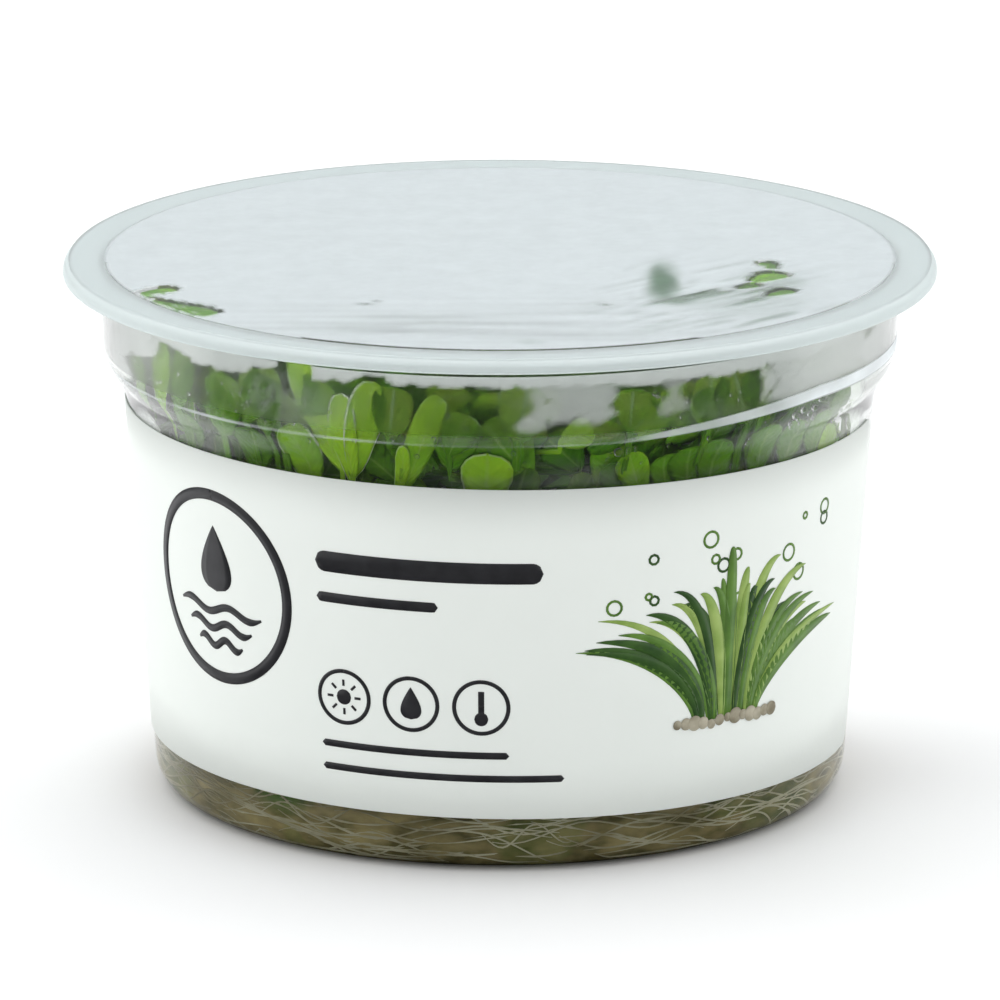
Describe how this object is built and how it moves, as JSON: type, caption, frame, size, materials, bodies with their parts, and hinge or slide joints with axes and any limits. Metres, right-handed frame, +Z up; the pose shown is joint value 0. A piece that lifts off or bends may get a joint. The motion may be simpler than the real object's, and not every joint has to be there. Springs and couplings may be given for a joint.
{
  "type": "hygrophila serpyllum",
  "caption": "Small-leaved aquarium stem plants in nutrient gel, in a clear round flanged cup with a sealed film lid and a white wrap label.",
  "frame": {"origin": "centre of the cup's base, on the surface it stands on", "axes": "+Z up out of the cup, -Y towards the front of the label, +X to the right seen from the front"},
  "size_m": [0.095, 0.095, 0.0586],
  "materials": {
    "clear_cup": "clear, slightly milky",
    "clear_film": "clear film, fogged and slightly wrinkled",
    "label_paper": "satin coated",
    "nutrient_gel": "cloudy, wet",
    "leaf_green": "waxy leaf, satin"
  },
  "bodies": {
    "root": {"cup": "clear_cup", "seal_film": "clear_film", "label": "label_paper", "gel": "nutrient_gel", "shoot_01": "leaf_green", "shoot_02": "leaf_green", "shoot_03": "leaf_green", "shoot_04": "leaf_green", "shoot_05": "leaf_green", "shoot_06": "leaf_green", "shoot_07": "leaf_green", "shoot_08": "leaf_green", "shoot_09": "leaf_green", "shoot_10": "leaf_green", "shoot_11": "leaf_green", "shoot_12": "leaf_green", "shoot_13": "leaf_green", "shoot_14": "leaf_green", "shoot_15": "leaf_green", "shoot_16": "leaf_green", "shoot_17": "leaf_green", "shoot_18": "leaf_green", "shoot_19": "leaf_green"}
  },
  "joints": []
}
